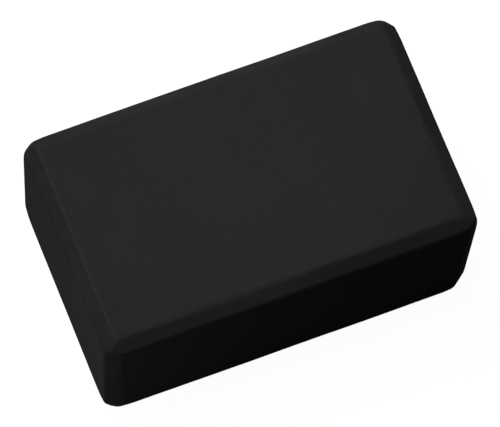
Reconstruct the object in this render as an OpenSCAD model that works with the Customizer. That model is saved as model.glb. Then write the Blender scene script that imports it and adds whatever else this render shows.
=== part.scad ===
// Foam yoga block: one solid brick of closed-cell foam, bevelled along all
// twelve edges so that it is kind to hands, shins and back.
// Millimetres. The origin is the centre of the large face that it lies on,
// with X along its length, Y across its width and Z up.

/* [Block] */
// Length along X, the height of the block when it stands on end
block_length = 228.6; // [180:0.1:300]
// Width along Y, the height of the block when it stands on a long side
block_width = 139.7; // [110:0.1:200]
// Height along Z when it lies on a large face
block_height = 101.6; // [60:0.1:130]

/* [Bevels] */
// Width that each bevel round a large face takes off that face
face_bevel_width = 7.5; // [5:0.1:12]
// Distance that the same bevels run down the side faces
face_bevel_drop = 4.5; // [3:0.1:12]
// Width that the bevels of the four upright edges take off each side face
upright_bevel = 7.5; // [5:0.1:12]
// Radius that softens the two arrises of every bevel
arris_radius = 3.5; // [0.5:0.1:5]

/* [Hidden] */
// A true circle for every softened arris
$fn = 96;

foam_colour = [0.16, 0.17, 0.17];
// What each bevel takes off the two faces that it joins
face_bevel = [face_bevel_width, face_bevel_drop];
side_bevel = [upright_bevel, upright_bevel];

// How far an arris that turns through the given angle is set back by its radius
function arris_setback(turn) = arris_radius * tan(turn / 2);

// The points of a polygon's right-hand corners, mirrored for its left-hand ones
function mirrored_in_x(points) = [for (i = [len(points) - 1:-1:0]) [-points[i].x, points[i].y]];

// Rectangle with its four corners bevelled, and the arris at both ends of each
// bevel rounded: straight flats that end where the arcs begin, and the arcs.
module bevelled_outline(size, bevel) {
    half = size / 2;
    down_bevel = [bevel.x, -bevel.y] / norm(bevel);
    top_turn = atan2(bevel.y, bevel.x);
    top_arris = [half.x - bevel.x, half.y];
    top_setback = arris_setback(top_turn);
    side_arris = [half.x, half.y - bevel.y];
    side_setback = arris_setback(90 - top_turn);

    corner = [
        side_arris - [0, side_setback],
        side_arris - side_setback * down_bevel,
        top_arris + top_setback * down_bevel,
        top_arris - [top_setback, 0]
    ];
    upper_half = concat(corner, mirrored_in_x(corner));
    polygon(concat(upper_half, -upper_half));

    arc_centres = [
        side_arris - [arris_radius, side_setback],
        top_arris - [top_setback, arris_radius]
    ];
    for (c = arc_centres, x = [-1, 1], y = [-1, 1])
        translate([x * c.x, y * c.y])
            circle(r = arris_radius);
}

// The block is what the three bevelled outlines, seen from above, from the
// side and from the end, have in common. Their bevels mitre at the corners.
module foam_block() {
    color(foam_colour)
        intersection() {
            linear_extrude(block_height)
                bevelled_outline([block_length, block_width], side_bevel);
            translate([0, block_width / 2, block_height / 2])
                rotate([90, 0, 0])
                    linear_extrude(block_width)
                        bevelled_outline([block_length, block_height], face_bevel);
            translate([-block_length / 2, 0, block_height / 2])
                rotate([90, 0, 90])
                    linear_extrude(block_length)
                        bevelled_outline([block_width, block_height], face_bevel);
        }
}

foam_block();
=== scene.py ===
import math

import bmesh
import bpy
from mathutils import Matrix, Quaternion, Vector, noise


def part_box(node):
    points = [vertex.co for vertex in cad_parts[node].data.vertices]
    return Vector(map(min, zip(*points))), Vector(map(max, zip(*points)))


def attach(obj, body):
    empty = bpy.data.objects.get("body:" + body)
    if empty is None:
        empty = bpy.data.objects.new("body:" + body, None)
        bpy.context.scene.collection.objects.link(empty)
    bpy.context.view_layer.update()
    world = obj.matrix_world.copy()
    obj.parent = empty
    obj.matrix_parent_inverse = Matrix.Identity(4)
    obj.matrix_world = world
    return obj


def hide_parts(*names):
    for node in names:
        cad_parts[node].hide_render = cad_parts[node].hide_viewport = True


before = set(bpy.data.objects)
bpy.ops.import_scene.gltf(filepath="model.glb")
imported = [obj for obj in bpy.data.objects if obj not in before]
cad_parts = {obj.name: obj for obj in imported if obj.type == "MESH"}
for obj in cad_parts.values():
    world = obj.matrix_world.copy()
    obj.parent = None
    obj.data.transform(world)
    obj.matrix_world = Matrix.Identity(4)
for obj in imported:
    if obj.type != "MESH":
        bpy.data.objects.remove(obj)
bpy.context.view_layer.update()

# A black foam yoga block on a pale floor. Sizes are in metres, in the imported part's own frame:
# X along the block, Y across it, Z up from the face that it lies on.
MM = 0.001

# ---------------------------------------------------------------- the block's own sizes
BLOCK_LOW, BLOCK_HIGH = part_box("foam_block")
BLOCK_CENTRE = (BLOCK_LOW + BLOCK_HIGH) / 2
BLOCK_HALF = (BLOCK_HIGH - BLOCK_LOW) / 2
FACE_BEVEL_WIDTH = 7.5 * MM    # what a bevel takes off a large face
FACE_BEVEL_DROP = 4.5 * MM     # how far the same bevel runs down a side
# The bevels are cut by hand: what each takes off its large face at its two ends, in mm
HAND_CUT_BEVELS = {
    # (axis, side, upper or lower face): (at the low end, at the high end)
    (1, 1, 1): (6.8, 5.6),
    (1, -1, 1): (8.3, 8.5),
    (0, -1, 1): (8.4, 7.8),
    (0, 1, 1): (10.2, 7.6),
    (1, 1, -1): (7.5, 7.5),
    (1, -1, -1): (8.6, 2.6),
    (0, -1, -1): (9.0, 8.8),
    (0, 1, -1): (3.8, 8.5),
}
# What each upright bevel takes off its long side and its end, in mm, and how it widens downwards
UPRIGHT_BEVELS = {
    # (left or right, front or back): (off the long side, off the end, times as wide at the base)
    (-1, -1): (7.5, 5.3, 1.0),
    (-1, 1): (6.8, 4.2, 1.12),
    (1, -1): (7.0, 5.4, 1.42),
    (1, 1): (7.0, 7.0, 1.0),
}
# The ends are sawn a little out of square: how far each falls short, in mm
END_TRIMS = {
    # left or right: (back top, front top, front base)
    -1: (0.0, 0.0, 0.5),
    1: (0.0, 0.6, 1.2),
}
OUTER_LEAST = 0.99             # only an outer face points this squarely along an axis
MOSTLY_ALONG = 0.9             # a direction with this share along an axis counts as running along it
CUT_SNAP = 0.0001 * MM         # a point this near to a cut lies on it

# How far an arris, where two faces meet, is rounded: the radius of each kind
BROAD_ARRIS = 5.5 * MM         # a large face and its bevel
SIDE_ARRIS = 3.5 * MM          # a bevel and the side below it
LONG_SIDE_UPRIGHT = 7.0 * MM   # an upright bevel and a long side
END_UPRIGHT = 3.0 * MM         # an upright bevel and an end
CORNER_ARRIS = 3.0 * MM        # the short arrises where the bevels meet at a corner
CORNER_LONGEST = 12 * MM       # every short corner arris is shorter than this
BASE_SHARE = 0.6               # the radii round the base, as a share of those above
ARRIS_SEGMENTS = 6
SHARP_TURN = math.radians(12)  # a fold at least this sharp is an arris
SHALLOW_TURN = math.radians(36)          # below this it is a large face's, or that of a thinly cut upright
FLAT_LEAST = 300 * MM * MM     # every flat face of the block is larger than this, every arris strip smaller
FLAT_RIM = 0.3 * MM            # a narrow border that keeps the flats flat right up to the arrises
MEND_REACH = 0.1 * MM          # points left closer together than this by the cuts become one

# Foam gives most at its outermost points: each is pressed in by its sharpness times the give
CORNER_GIVE = 2.8 * MM
CORNER_SPREAD = 5.0 * MM

# Foam never cuts dead flat: a slow swell and a finer ripple, each as (depth, length)
GRID_PITCH = 3.5 * MM
SWELL = (0.16 * MM, 46 * MM)
RIPPLE = (0.04 * MM, 9 * MM)

# Masks that tell the material where it is
ARRIS_REACH = 1.2 * MM         # how far from a crisp edge the arris mask fades out
BEVEL_REACH = 0.6 * MM         # how deep below the main faces the bevel mask is full


# ---------------------------------------------------------------- modelling
def slice_off(bm, point, normal):
    """Cut the foam along a plane, throw away what lies beyond it and close the cut flat."""
    cut = bmesh.ops.bisect_plane(
        bm, geom=bm.verts[:] + bm.edges[:] + bm.faces[:], dist=CUT_SNAP,
        plane_co=point, plane_no=normal, clear_outer=True)
    rim = [item for item in cut["geom_cut"] if isinstance(item, bmesh.types.BMEdge)]
    bmesh.ops.contextual_create(bm, geom=rim)


def score_across(bm, axis, positions):
    """Divide every face that the planes at these positions along an axis pass through."""
    for position in positions:
        point, normal = Vector(), Vector()
        point[axis], normal[axis] = position, 1
        bmesh.ops.bisect_plane(
            bm, geom=bm.verts[:] + bm.edges[:] + bm.faces[:], dist=CUT_SNAP,
            plane_co=point, plane_no=normal)


def even_steps(low, high, pitch):
    """Positions strictly between two ends, evenly spaced at about the given pitch."""
    count = max(1, round((high - low) / pitch))
    return [low + (high - low) * i / count for i in range(1, count)]


def trim_end(bm, side, back_top, front_top, front_base):
    """Saw an end of the block along the plane through three of its corners, each a little short."""
    sawn = []
    for trim, front, up in ((back_top, 1, 1), (front_top, -1, 1), (front_base, -1, -1)):
        sawn.append(Vector((side * (BLOCK_HALF.x - trim * MM), front * BLOCK_HALF.y, up * BLOCK_HALF.z)))
    normal = (sawn[0] - sawn[1]).cross(sawn[2] - sawn[1]).normalized()
    slice_off(bm, sawn[0], normal if normal.x * side > 0 else -normal)


def slice_bevel(bm, axis, side, end):
    """Slice the bevel between a large face and a side."""
    corners = []
    for reach, inset in zip((-1, 1), HAND_CUT_BEVELS[axis, side, end]):
        corner = Vector((reach * BLOCK_HALF.x, reach * BLOCK_HALF.y, end * BLOCK_HALF.z))
        corner[axis] = side * (BLOCK_HALF[axis] - inset * MM)
        corners.append(corner)
    down = Vector((0, 0, -end * FACE_BEVEL_DROP))
    down[axis] = side * FACE_BEVEL_WIDTH
    normal = (corners[1] - corners[0]).cross(down).normalized()
    slice_off(bm, corners[0], normal if normal.z * end > 0 else -normal)


def slice_upright(bm, side, front):
    """Slice the upright bevel between a long side and an end."""
    off_side, off_end, widens = UPRIGHT_BEVELS[side, front]
    x, y, z = BLOCK_HALF
    top = Vector((side * (x - off_side * MM), front * y, z))
    across = Vector((side * off_side, -front * off_end, 0))
    base = Vector((side * (x - off_side * widens * MM), front * y, -z))
    normal = across.cross(base - top).normalized()
    slice_off(bm, top, normal if normal.x * side > 0 else -normal)


def crisp_foam():
    """The block with crisp arrises: a brick of foam with twelve bevels sliced off its edges."""
    bm = bmesh.new()
    bmesh.ops.create_cube(bm, size=2)
    bmesh.ops.scale(bm, vec=BLOCK_HALF, verts=bm.verts)
    for side, trims in END_TRIMS.items():
        trim_end(bm, side, *trims)
    for axis, side, end in HAND_CUT_BEVELS:
        slice_bevel(bm, axis, side, end)
    for side, front in UPRIGHT_BEVELS:
        slice_upright(bm, side, front)
    bmesh.ops.translate(bm, vec=BLOCK_CENTRE, verts=bm.verts)
    bmesh.ops.recalc_face_normals(bm, faces=bm.faces)
    return bm


def arris_radius(edge):
    """How softly an arris is rounded, by what it lies between."""
    along = edge.verts[1].co - edge.verts[0].co
    share = 1 if edge.verts[0].co.z > BLOCK_CENTRE.z else BASE_SHARE
    if abs(along.z) > MOSTLY_ALONG * along.length:
        at_end = max(abs(face.normal.x) for face in edge.link_faces) > MOSTLY_ALONG
        return END_UPRIGHT if at_end else LONG_SIDE_UPRIGHT
    if along.length < CORNER_LONGEST:
        return CORNER_ARRIS * share
    return share * (BROAD_ARRIS if edge.calc_face_angle() < SHALLOW_TURN else SIDE_ARRIS)


def weigh_arrises(bm):
    """Give each arris the bevel weight at which it gets its own radius, whatever it turns."""
    weight = bm.edges.layers.float.new("bevel_weight_edge")
    bm.normal_update()
    for edge in bm.edges:
        turn = edge.calc_face_angle(0)
        if turn > SHARP_TURN:
            edge[weight] = math.tan(turn / 2) * arris_radius(edge) / LONG_SIDE_UPRIGHT


def soften_arrises(crisp):
    """The crisp mesh with every arris rounded to its own radius."""
    blank = bpy.data.objects.new("blank", crisp)
    bpy.context.scene.collection.objects.link(blank)
    soften = blank.modifiers.new("soften_arrises", "BEVEL")
    soften.limit_method = "WEIGHT"
    soften.offset_type = "OFFSET"
    soften.width = LONG_SIDE_UPRIGHT
    soften.segments = ARRIS_SEGMENTS
    soften.profile = 0.5
    soften.use_clamp_overlap = True
    depsgraph = bpy.context.evaluated_depsgraph_get()
    softened = bpy.data.meshes.new_from_object(blank.evaluated_get(depsgraph))
    bpy.data.objects.remove(blank)
    return softened


def divide_faces(bm):
    """A narrow rim inside each flat face, then a grid fine enough for the foam's own unevenness."""
    flats = [face for face in bm.faces if face.calc_area() > FLAT_LEAST]
    bmesh.ops.inset_individual(bm, faces=flats, thickness=FLAT_RIM, use_even_offset=True)
    for axis in range(3):
        score_across(bm, axis, even_steps(BLOCK_LOW[axis], BLOCK_HIGH[axis], GRID_PITCH))


def outer_faces(bm):
    """The six outer faces of the crisp block, each as a point on it and the way it faces."""
    return [(face.calc_center_median(), face.normal.copy()) for face in bm.faces
            if max(abs(part) for part in face.normal) > OUTER_LEAST]


def distance_to_edge(point, edge):
    start, end = edge
    along = end - start
    share = min(1, max(0, (point - start).dot(along) / along.length_squared))
    return (point - start - along * share).length


def corner_presses(bm):
    """Each crisp corner with the way and the depth that it is pressed in: most where it is sharpest."""
    presses = []
    for corner in bm.verts:
        normals = [face.normal for face in corner.link_faces]
        outwards = sum(normals, Vector()).normalized()
        sharpness = 1 - sum(outwards.dot(normal) for normal in normals) / len(normals)
        presses.append((corner.co.copy(), -outwards * sharpness * CORNER_GIVE))
    return presses


def press_corners(bm, presses):
    """Round the corners off as a whole, over and above the softening of their arrises."""
    for vert in bm.verts:
        place = vert.co.copy()
        for corner, push in presses:
            near = (place - corner).length / CORNER_SPREAD
            vert.co += push * math.exp(-near * near)


def mark_finishes(bm, outer, shallow_arrises):
    """Masks for the material: how near a point is to a shallow arris, and how far it is into a bevel."""
    arris = bm.verts.layers.float.new("arris")
    bevel = bm.verts.layers.float.new("bevel")
    for vert in bm.verts:
        depth = min((place - vert.co).dot(normal) for place, normal in outer)
        vert[bevel] = min(1, max(0, depth / BEVEL_REACH))
        nearest = min(distance_to_edge(vert.co, edge) for edge in shallow_arrises)
        vert[arris] = max(0, 1 - nearest / ARRIS_REACH)


def waver(point):
    """How far the cut surface stands proud of, or below, its true plane at a point."""
    return sum(depth * noise.noise(point / length) for depth, length in (SWELL, RIPPLE))


def finish_skin(mesh, outer, shallow_arrises, presses):
    """Divide the softened block, mark it for the material and give it the unevenness of cut foam."""
    bm = bmesh.new()
    bm.from_mesh(mesh)
    divide_faces(bm)
    bmesh.ops.remove_doubles(bm, verts=bm.verts, dist=MEND_REACH)
    bmesh.ops.recalc_face_normals(bm, faces=bm.faces)
    bm.normal_update()
    mark_finishes(bm, outer, shallow_arrises)
    press_corners(bm, presses)
    bm.normal_update()
    for vert in bm.verts:
        vert.co += vert.normal * waver(vert.co)
    for face in bm.faces:
        face.smooth = True
    bm.to_mesh(mesh)
    bm.free()


def make_foam_block():
    """Crisp foam first, then its arrises softened, then its skin."""
    bm = crisp_foam()
    weigh_arrises(bm)
    shallow_arrises = [
        (edge.verts[0].co.copy(), edge.verts[1].co.copy())
        for edge in bm.edges if SHARP_TURN < edge.calc_face_angle() < SHALLOW_TURN]
    outer = outer_faces(bm)
    presses = corner_presses(bm)
    crisp = bpy.data.meshes.new("crisp_foam")
    bm.to_mesh(crisp)
    bm.free()
    mesh = soften_arrises(crisp)
    bpy.data.meshes.remove(crisp)
    finish_skin(mesh, outer, shallow_arrises, presses)
    mesh.name = "foam_block_skin"
    piece = bpy.data.objects.new("foam_block_skin", mesh)
    bpy.context.scene.collection.objects.link(piece)
    return piece


# ---------------------------------------------------------------- the foam's finish
FOAM_BLACK = (0.0238, 0.0238, 0.0238, 1)
FOAM_COOL = (0.0224, 0.0248, 0.0241, 1)
# the colour of the painted highlight on the arrises at the left end
FOAM_ARRIS_HIGHLIGHT = (0.052, 0.053, 0.053, 1)
# painted shade: the darker colour given to the open pits
FOAM_PIT_SHADE = (0.014, 0.014, 0.014, 1)
FOAM_ROUGHNESS = (0.88, 0.98)  # at the least and the most, from cell to cell
FOAM_SHEEN, FOAM_SHEEN_ROUGHNESS = 0.015, 0.45

# Closed cells, and the few that are cut open into pits
CELLS_PER_METRE = 1500.0
CELL_SOFTNESS = 0.6            # how softly one cell runs into the next
CELL_FOOT = 0.75               # how far from its middle a cell's dome ends, as a share of a cell
CELL_TONES = (0.93, 1.07)      # the darkest and the lightest cell
PIT_SPOTS_PER_CELL = 0.28      # pits are wider than cells, so there are fewer places for them
OPEN_CELLS = 0.05              # the share of those places that hold a pit
PIT_FLOOR, PIT_RIM = 0.08, 0.26
SKIN_RELIEF = 0.022 * MM       # how high a cell stands
PEEL_PER_METRE = 330.0         # a slower unevenness under the cells
PEEL_HEIGHT = 1.2              # as a share of a cell's height

# Clouds of tone, and the faint cool cast that goes with them
SKIN_CLOUDS_PER_METRE = 22.0
CLOUD_RAGGEDNESS = 0.45
CLOUD_EDGES = (0.3, 0.7)       # the noise at which a cloud begins and is full
CLOUD_TONES = (0.97, 1.03)
COOL_BETWEEN_CLOUDS = 0.5      # the cast between clouds, as a share of the cast in them
COOL_SPREAD = (50 * MM, 112 * MM)        # from the middle: full up to the first, faded at the second
COOL_AT_ENDS = 0.1
COOL_FACING = (0.88, 0.97)     # how squarely a face points up or down where the cast begins and is full

# The cut bevels: darker, with flatter cells and drag lines
CUT_CLOUDS_PER_METRE = 17.0
CUT_TONE_LOW, CUT_TONE_RANGE = 0.7632, 0.212
CUT_CELL_HEIGHT = 0.6
DRAG_LINES_PER_METRE = 1300.0
DRAG_TIPS = (0.08, 0.3)        # how far the normal tips along the cutter's run, and across it
DRAG_ALONG = 0.03              # how fast the lines change along the run, as a share of across it
DRAG_HEIGHT = 1.4              # as a share of a cell's height

# Painted highlight: the arrises painted lighter, in patches, mostly at the left end
HIGHLIGHT_STRENGTH = 0.42
HIGHLIGHT_PATCHES_PER_METRE = 55.0
PATCH_EDGES = (0.32, 0.6)      # the noise at which a patch begins and is full
BETWEEN_PATCHES = 0.45
HIGHLIGHT_FROM = 102.5 * MM          # how far left of the middle the painted highlight's end begins
HIGHLIGHT_FADE = 4 * MM              # and the length over which the painted highlight comes on
HIGHLIGHT_ELSEWHERE = 0.05           # the painted highlight away from that end
HIGHLIGHT_NARROWING = 1.6            # keeps the painted highlight to the middle of an arris


# ---------------------------------------------------------------- materials
def add(tree, kind, settings=None, **inputs):
    """A shader node. Inputs go by name, or by place as _0, and an output given as a value is linked."""
    node = tree.nodes.new(kind)
    for name, value in (settings or {}).items():
        setattr(node, name, value)
    for name, value in inputs.items():
        socket = node.inputs[int(name[1:]) if name[0] == "_" else name.replace("_", " ")]
        if isinstance(value, bpy.types.NodeSocket):
            tree.links.new(value, socket)
        else:
            socket.default_value = value
    return node


def maths(tree, operation, first, second=0.0):
    return add(tree, "ShaderNodeMath", {"operation": operation}, _0=first, _1=second).outputs[0]


def ramp(tree, value, low, high, start=0.0, end=1.0):
    """A value eased from start to end as it goes from low to high."""
    return add(tree, "ShaderNodeMapRange", {"interpolation_type": "SMOOTHSTEP"},
               Value=value, From_Min=low, From_Max=high, To_Min=start, To_Max=end).outputs["Result"]


def mix_colour(tree, share, first, second, blend="MIX"):
    settings = {"data_type": "RGBA", "blend_type": blend}
    return add(tree, "ShaderNodeMix", settings, _0=share, _6=first, _7=second).outputs[2]


def grey(tree, value):
    return add(tree, "ShaderNodeCombineColor", Red=value, Green=value, Blue=value).outputs[0]


def new_group(name, takes, gives):
    """An empty node group with named inputs and outputs, each given as (name, kind)."""
    group = bpy.data.node_groups.new(name, "ShaderNodeTree")
    for sockets, side in ((takes, "INPUT"), (gives, "OUTPUT")):
        for title, kind in sockets:
            group.interface.new_socket(title, in_out=side, socket_type="NodeSocket" + kind)
    return group, group.nodes.new("NodeGroupInput").outputs, group.nodes.new("NodeGroupOutput").inputs


def closed_cell_group():
    """The pebbled skin of closed-cell foam, with a few cells cut open into pits."""
    group, takes, gives = new_group(
        "closed_cell_foam",
        [("Place", "Vector"), ("Cells per Metre", "Float"), ("Open Cells", "Float")],
        [("Height", "Float"), ("Pits", "Float"), ("Speckle", "Float")])
    cells = add(group, "ShaderNodeTexVoronoi", {"feature": "SMOOTH_F1"},
                Vector=takes["Place"], Scale=takes["Cells per Metre"], Smoothness=CELL_SOFTNESS)
    domes = ramp(group, cells.outputs["Distance"], 0.0, CELL_FOOT, 1.0, 0.0)
    wide = maths(group, "MULTIPLY", takes["Cells per Metre"], PIT_SPOTS_PER_CELL)
    openings = add(group, "ShaderNodeTexVoronoi", Vector=takes["Place"], Scale=wide)
    chance = add(group, "ShaderNodeSeparateColor", Color=openings.outputs["Color"]).outputs[0]
    chosen = maths(group, "LESS_THAN", chance, takes["Open Cells"])
    round_pit = ramp(group, openings.outputs["Distance"], PIT_FLOOR, PIT_RIM, 1.0, 0.0)
    pits = maths(group, "MULTIPLY", chosen, round_pit)
    group.links.new(maths(group, "SUBTRACT", domes, pits), gives["Height"])
    group.links.new(pits, gives["Pits"])
    shade = add(group, "ShaderNodeSeparateColor", Color=cells.outputs["Color"]).outputs[1]
    group.links.new(shade, gives["Speckle"])
    return group


def cloudy_mix_group():
    """Slow, cloudy change of tone, as where the mix of the foam was a little uneven."""
    group, takes, gives = new_group(
        "cloudy_mix", [("Place", "Vector"), ("Clouds per Metre", "Float")], [("Cloud", "Float")])
    cloud = add(group, "ShaderNodeTexNoise", Vector=takes["Place"],
                Scale=takes["Clouds per Metre"], Detail=2.0, Roughness=CLOUD_RAGGEDNESS)
    group.links.new(ramp(group, cloud.outputs["Fac"], *CLOUD_EDGES), gives["Cloud"])
    return group


def cutter_drag_group():
    """Fine drag lines that a bevel cutter leaves along its run, the way in which the normal never tips."""
    group, takes, gives = new_group(
        "cutter_drag", [("Place", "Vector"), ("Normal", "Vector"), ("Lines per Metre", "Float")],
        [("Height", "Float")])
    tip = add(group, "ShaderNodeVectorMath", {"operation": "ABSOLUTE"}, _0=takes["Normal"]).outputs[0]
    across = add(group, "ShaderNodeSeparateXYZ", Vector=tip)
    stretch = add(group, "ShaderNodeCombineXYZ")
    for axis in range(3):
        fineness = ramp(group, across.outputs[axis], *DRAG_TIPS, DRAG_ALONG, 1.0)
        group.links.new(fineness, stretch.inputs[axis])
    drawn = add(group, "ShaderNodeVectorMath", {"operation": "MULTIPLY"},
                _0=takes["Place"], _1=stretch.outputs[0]).outputs[0]
    lines = add(group, "ShaderNodeTexNoise", Vector=drawn, Scale=takes["Lines per Metre"], Detail=1.0)
    group.links.new(lines.outputs["Fac"], gives["Height"])
    return group


def painted_arris_highlight_group():
    """A painted highlight along an arris: patchy along it, and strongest at the left end."""
    group, takes, gives = new_group(
        "painted_arris_highlight",
        [("Place", "Vector"), ("Arris", "Float"), ("Patches per Metre", "Float"),
         ("End From", "Float"), ("Elsewhere", "Float")],
        [("Highlight", "Float")])
    patch = add(group, "ShaderNodeTexNoise", Vector=takes["Place"],
                Scale=takes["Patches per Metre"], Detail=3.0)
    patchy = ramp(group, patch.outputs["Fac"], *PATCH_EDGES, BETWEEN_PATCHES, 1.0)
    along = add(group, "ShaderNodeSeparateXYZ", Vector=takes["Place"]).outputs[0]
    past = maths(group, "SUBTRACT", maths(group, "MULTIPLY", along, -1.0), takes["End From"])
    near_end = maths(group, "MINIMUM", maths(group, "MULTIPLY", past, 1 / HIGHLIGHT_FADE), 1.0)
    ends = maths(group, "MAXIMUM", near_end, takes["Elsewhere"])
    line = maths(group, "POWER", takes["Arris"], HIGHLIGHT_NARROWING)
    group.links.new(maths(group, "MULTIPLY", maths(group, "MULTIPLY", line, patchy), ends), gives["Highlight"])
    return group


def reach_along(tree, vector, axis):
    """How far a vector reaches along an axis, whichever way it points."""
    part = add(tree, "ShaderNodeSeparateXYZ", Vector=vector).outputs[axis]
    return maths(tree, "ABSOLUTE", part)


def foam_tint(tree, place, normal, cloud):
    """Neutral black, with a faint cool cast in clouds on the large faces, most about their middle."""
    clouds = ramp(tree, cloud, 0.0, 1.0, COOL_BETWEEN_CLOUDS, 1.0)
    middle = ramp(tree, reach_along(tree, place, 0), *COOL_SPREAD, 1.0, COOL_AT_ENDS)
    large_face = ramp(tree, reach_along(tree, normal, 2), *COOL_FACING)
    cool = maths(tree, "MULTIPLY", maths(tree, "MULTIPLY", clouds, middle), large_face)
    return mix_colour(tree, cool, FOAM_BLACK, FOAM_COOL)


def foam_tone(tree, speckle, cloud, cut, bevel):
    """How light the foam is, from cell to cell and cloud to cloud. The cut bevels are darker."""
    tone = maths(tree, "MULTIPLY", ramp(tree, speckle, 0.0, 1.0, *CELL_TONES),
                 ramp(tree, cloud, 0.0, 1.0, *CLOUD_TONES))
    cut_tone = maths(tree, "ADD", maths(tree, "MULTIPLY", cut, CUT_TONE_RANGE), CUT_TONE_LOW)
    return maths(tree, "MULTIPLY", tone, ramp(tree, bevel, 0.0, 1.0, 1.0, cut_tone))


def foam_relief(tree, cells, peel, drag, bevel):
    """The bumps of the skin: cells, the slower unevenness under them, and drag lines on the bevels."""
    fine = maths(tree, "MULTIPLY", cells, ramp(tree, bevel, 0.0, 1.0, 1.0, CUT_CELL_HEIGHT))
    height = maths(tree, "ADD", fine, maths(tree, "MULTIPLY", peel, PEEL_HEIGHT))
    lines = maths(tree, "MULTIPLY", maths(tree, "MULTIPLY", drag, bevel), DRAG_HEIGHT)
    height = maths(tree, "ADD", height, lines)
    return add(tree, "ShaderNodeBump", Strength=1.0, Distance=SKIN_RELIEF, Height=height).outputs["Normal"]


def black_foam():
    material = bpy.data.materials.new("black_foam")
    material.use_nodes = True
    tree = material.node_tree
    tree.nodes.clear()
    coordinates = add(tree, "ShaderNodeTexCoord").outputs
    place, normal = coordinates["Object"], coordinates["Normal"]
    arris = add(tree, "ShaderNodeAttribute", {"attribute_name": "arris"}).outputs["Fac"]
    bevel = add(tree, "ShaderNodeAttribute", {"attribute_name": "bevel"}).outputs["Fac"]
    clouds = cloudy_mix_group()

    skin = add(tree, "ShaderNodeGroup", {"node_tree": closed_cell_group()},
               Place=place, Cells_per_Metre=CELLS_PER_METRE, Open_Cells=OPEN_CELLS).outputs
    cloud = add(tree, "ShaderNodeGroup", {"node_tree": clouds},
                Place=place, Clouds_per_Metre=SKIN_CLOUDS_PER_METRE).outputs["Cloud"]
    cut = add(tree, "ShaderNodeGroup", {"node_tree": clouds},
              Place=place, Clouds_per_Metre=CUT_CLOUDS_PER_METRE).outputs["Cloud"]
    peel = add(tree, "ShaderNodeTexNoise", Vector=place, Scale=PEEL_PER_METRE, Detail=1.0).outputs["Fac"]
    drag = add(tree, "ShaderNodeGroup", {"node_tree": cutter_drag_group()},
               Place=place, Normal=normal, Lines_per_Metre=DRAG_LINES_PER_METRE).outputs["Height"]
    arris_highlight = add(tree, "ShaderNodeGroup", {"node_tree": painted_arris_highlight_group()},
              Place=place, Arris=arris, Patches_per_Metre=HIGHLIGHT_PATCHES_PER_METRE,
              End_From=HIGHLIGHT_FROM, Elsewhere=HIGHLIGHT_ELSEWHERE).outputs["Highlight"]

    tone = foam_tone(tree, skin["Speckle"], cloud, cut, bevel)
    colour = foam_tint(tree, place, normal, cloud)
    colour = mix_colour(tree, 1.0, colour, grey(tree, tone), "MULTIPLY")
    # Painted shade: the open pits painted darker than the foam around them
    colour = mix_colour(tree, skin["Pits"], colour, FOAM_PIT_SHADE)
    # Painted highlight: the left end's arrises painted lighter, in patches
    colour = mix_colour(tree, maths(tree, "MULTIPLY", arris_highlight, HIGHLIGHT_STRENGTH), colour, FOAM_ARRIS_HIGHLIGHT)

    shader = add(tree, "ShaderNodeBsdfPrincipled", Base_Color=colour,
                 Roughness=ramp(tree, skin["Speckle"], 0.0, 1.0, *FOAM_ROUGHNESS),
                 Normal=foam_relief(tree, skin["Height"], peel, drag, bevel))
    shader.inputs["Specular IOR Level"].default_value = 0.0
    shader.inputs["Sheen Weight"].default_value = FOAM_SHEEN
    shader.inputs["Sheen Roughness"].default_value = FOAM_SHEEN_ROUGHNESS
    output = add(tree, "ShaderNodeOutputMaterial")
    tree.links.new(shader.outputs[0], output.inputs["Surface"])
    return material


# ---------------------------------------------------------------- floor, light and camera
FLOOR_SIZE = 6.0
FLOOR_DROP = 0.3 * MM          # keeps the floor clear of the foam's own unevenness
FLOOR_BOUNCE = (0.2, 0.2, 0.2, 1)        # the floor's colour as it lights the block from below
FLOOR_SEEN = (0.12, 0.12, 0.12, 1)       # and as it is seen, on top of the white
FLOOR_WHITE = 0.965            # just under white, so that lit floor reaches white and the shadow does not
WHITE = (1, 1, 1, 1)


def background_rays(tree):
    """1 for a ray that should see the plain white surroundings: straight, mirrored or through glass."""
    path = add(tree, "ShaderNodeLightPath").outputs
    seen = maths(tree, "MAXIMUM", path["Is Camera Ray"], path["Is Glossy Ray"])
    return maths(tree, "MAXIMUM", seen, path["Is Transmission Ray"])


def pale_floor():
    material = bpy.data.materials.new("pale_floor")
    material.use_nodes = True
    tree = material.node_tree
    tree.nodes.clear()
    seen = background_rays(tree)
    paint = add(tree, "ShaderNodeBsdfDiffuse", Color=mix_colour(tree, seen, FLOOR_BOUNCE, FLOOR_SEEN))
    glow = maths(tree, "MULTIPLY", seen, FLOOR_WHITE)
    white = add(tree, "ShaderNodeEmission", Color=WHITE, Strength=glow)
    top = add(tree, "ShaderNodeAddShader", _0=paint.outputs[0], _1=white.outputs[0])
    clear = add(tree, "ShaderNodeBsdfTransparent")
    under = add(tree, "ShaderNodeNewGeometry").outputs["Backfacing"]
    sided = add(tree, "ShaderNodeMixShader", _0=under, _1=top.outputs[0], _2=clear.outputs[0])
    output = add(tree, "ShaderNodeOutputMaterial")
    tree.links.new(sided.outputs[0], output.inputs["Surface"])
    return material


def make_floor():
    bm = bmesh.new()
    bmesh.ops.create_grid(bm, x_segments=1, y_segments=1, size=FLOOR_SIZE / 2)
    bmesh.ops.translate(bm, vec=(0, 0, -FLOOR_DROP), verts=bm.verts)
    mesh = bpy.data.meshes.new("floor")
    bm.to_mesh(mesh)
    bm.free()
    mesh.materials.append(pale_floor())
    floor = bpy.data.objects.new("floor", mesh)
    bpy.context.scene.collection.objects.link(floor)


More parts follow.
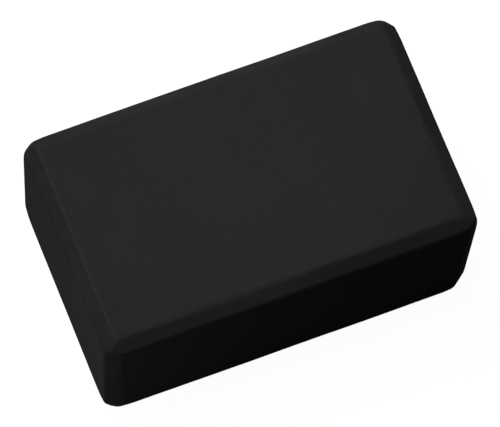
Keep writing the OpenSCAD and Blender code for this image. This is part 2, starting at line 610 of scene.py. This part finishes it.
LAMPS = {
    # name: (azimuth from +Y turning to +X, elevation, distance, size, watts)
    "window": (-35, 50, 1.3, 0.6, 9.15),
    "overhead": (90, 87, 0.36, 0.2, 0.42),
    "behind_low": (0, 10, 1.3, 0.6, 10.6),
    "left_low": (-111, 8, 0.4, 0.15, 0.29),
    "right_low": (90, 4, 0.8, 0.4, 1.2),
}
AIR_LIGHT = 0.015              # the dim light that comes from all round


def make_lamp(name, azimuth, elevation, distance, size, watts):
    a, e = math.radians(azimuth), math.radians(elevation)
    away = Vector((math.sin(a) * math.cos(e), math.cos(a) * math.cos(e), math.sin(e)))
    light = bpy.data.lights.new(name, "AREA")
    light.shape = "DISK"
    light.size = size
    light.energy = watts
    lamp = bpy.data.objects.new(name, light)
    lamp.location = BLOCK_CENTRE + away * distance
    lamp.rotation_euler = away.to_track_quat("Z", "Y").to_euler()
    lamp.visible_camera = False
    bpy.context.scene.collection.objects.link(lamp)


def make_world():
    world = bpy.data.worlds.new("studio")
    world.use_nodes = True
    tree = world.node_tree
    tree.nodes.clear()
    dim = add(tree, "ShaderNodeBackground", Color=WHITE, Strength=AIR_LIGHT)
    white = add(tree, "ShaderNodeBackground", Color=WHITE, Strength=1.0)
    mix = add(tree, "ShaderNodeMixShader", _0=background_rays(tree), _1=dim.outputs[0], _2=white.outputs[0])
    output = add(tree, "ShaderNodeOutputWorld")
    tree.links.new(mix.outputs[0], output.inputs["Surface"])
    bpy.context.scene.world = world


# Where the camera looks from, round from the block's front, and what it looks at
VIEW_AZIMUTH = math.radians(-27.1)
VIEW_ELEVATION = math.radians(69.05)
VIEW_ROLL = math.radians(5.97)
VIEW_DISTANCE = 2.72
VIEW_LENS_MM = 338.9
VIEW_AIM = Vector((1.0, 0.0, 50.8)) * MM
VIEW_FAR = 50


def make_camera():
    camera = bpy.data.objects.new("camera", bpy.data.cameras.new("camera"))
    bpy.context.scene.collection.objects.link(camera)
    a, e = VIEW_AZIMUTH, VIEW_ELEVATION
    back = Vector((math.sin(a) * math.cos(e), -math.cos(a) * math.cos(e), math.sin(e)))
    camera.rotation_mode = "QUATERNION"
    camera.rotation_quaternion = back.to_track_quat("Z", "Y") @ Quaternion((0, 0, 1), VIEW_ROLL)
    camera.location = VIEW_AIM + back * VIEW_DISTANCE
    camera.data.lens = VIEW_LENS_MM
    camera.data.clip_end = VIEW_FAR
    bpy.context.scene.camera = camera


# ---------------------------------------------------------------- the scene
block = make_foam_block()
block.data.materials.append(black_foam())
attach(block, "root")
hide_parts("foam_block")

make_floor()
make_world()
for lamp_name, lamp_values in LAMPS.items():
    make_lamp(lamp_name, *lamp_values)
make_camera()
bpy.context.scene.view_settings.view_transform = "Standard"
